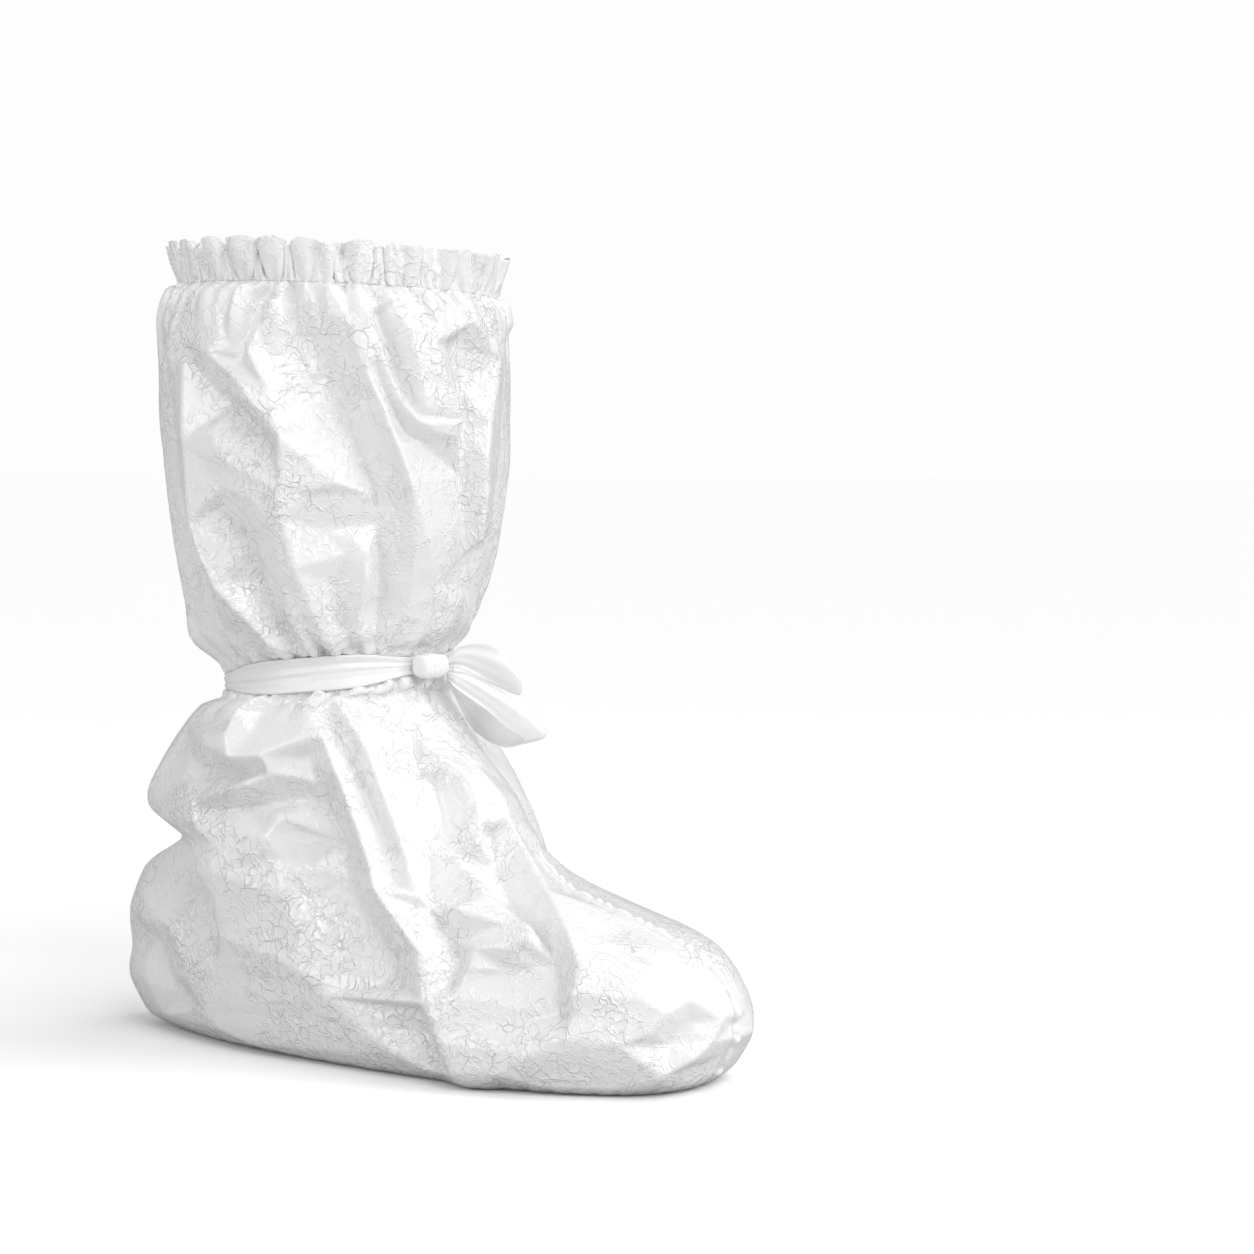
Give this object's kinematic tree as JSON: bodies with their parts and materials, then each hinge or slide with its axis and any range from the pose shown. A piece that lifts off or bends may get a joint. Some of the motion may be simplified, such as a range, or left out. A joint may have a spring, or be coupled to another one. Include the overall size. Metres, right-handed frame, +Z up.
{
  "type": "boot cover",
  "caption": "High overshoe of crinkled glossy film, shown filled as if worn: two side panels, a ruffled elastic cuff, an ankle tie with a knot and bow loops, and a welted front seam.",
  "frame": {"origin": "on the inner face of the sole, straight below the axis of the leg, where the wearer's shoe stands", "axes": "+X towards the toe, +Z up the leg, -Y is the side turned to the picture's viewer"},
  "size_m": [0.3977, 0.1998, 0.4346],
  "materials": {
    "film": "glossy white laminated film, crinkled",
    "tie_film": "soft white folded film strip",
    "seam_film": "white sewn and puckered seam welt"
  },
  "bodies": {
    "root": {"near_panel": "film", "far_panel": "film", "elastic_cuff": "film", "ankle_tie": "tie_film", "tie_knot": "tie_film", "upper_loop": "tie_film", "lower_loop": "tie_film", "front_seam": "seam_film"}
  },
  "joints": []
}
